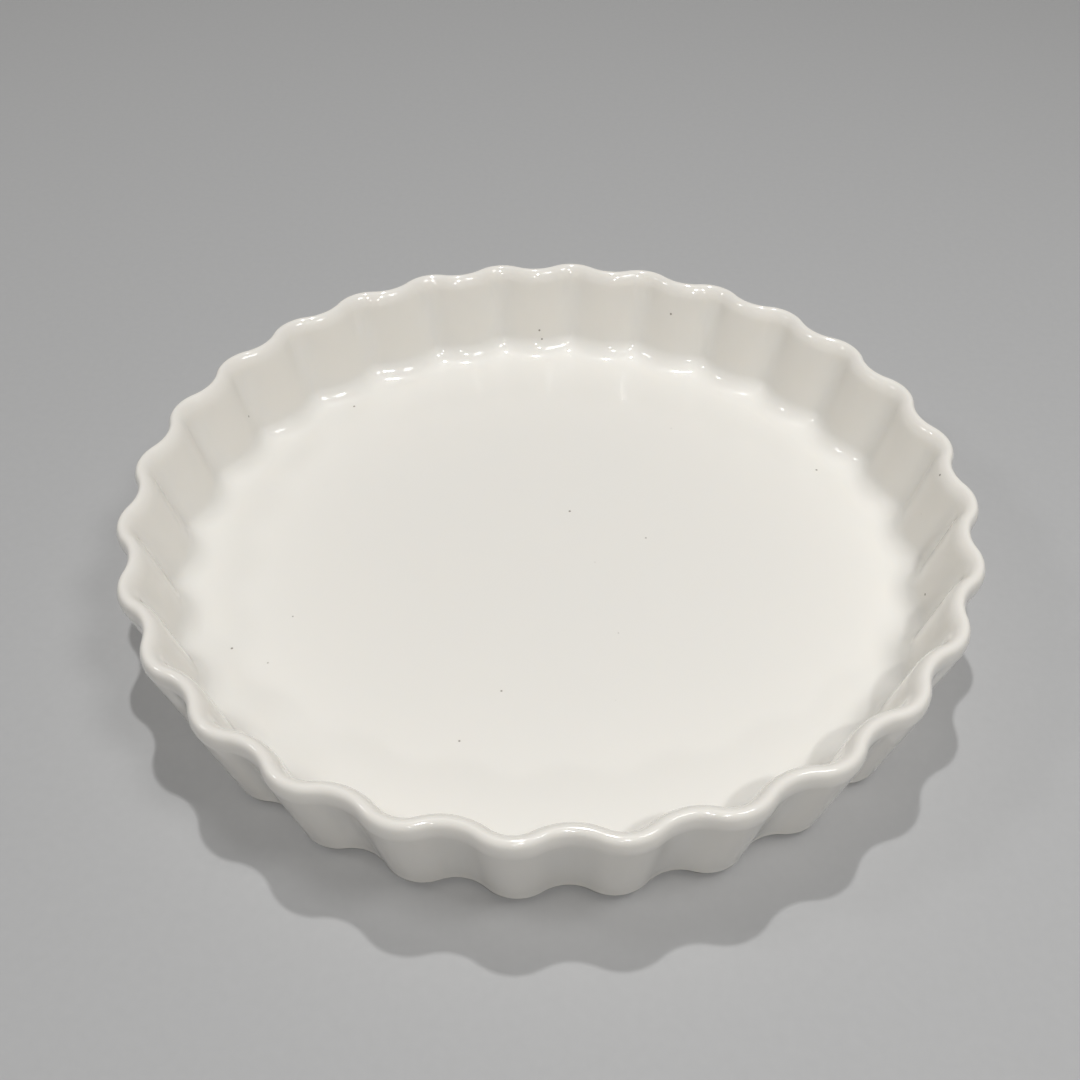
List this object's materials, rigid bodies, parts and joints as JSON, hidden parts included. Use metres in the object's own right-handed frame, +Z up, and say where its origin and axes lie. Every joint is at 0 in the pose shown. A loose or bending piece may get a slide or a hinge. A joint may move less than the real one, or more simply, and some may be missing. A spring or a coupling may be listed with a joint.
{
  "type": "fluted quiche dish",
  "caption": "Round shallow baking dish of white glazed porcelain with a fluted, outward-leaning wall, a rounded lip, a flat floor and a bare foot ring.",
  "frame": {"origin": "on the table, at the centre of the foot ring's underside", "axes": "+Z up along the dish's own axis; +X through the top of a lobe; the dish is open towards +Z"},
  "size_m": [0.27, 0.27, 0.04],
  "materials": {
    "white_glaze": "clear gloss glaze over white porcelain",
    "bare_porcelain": "matt, fine-grained unglazed porcelain"
  },
  "bodies": {
    "root": {"glazed_dish": "white_glaze", "bare_foot_ring": "bare_porcelain"}
  },
  "joints": []
}
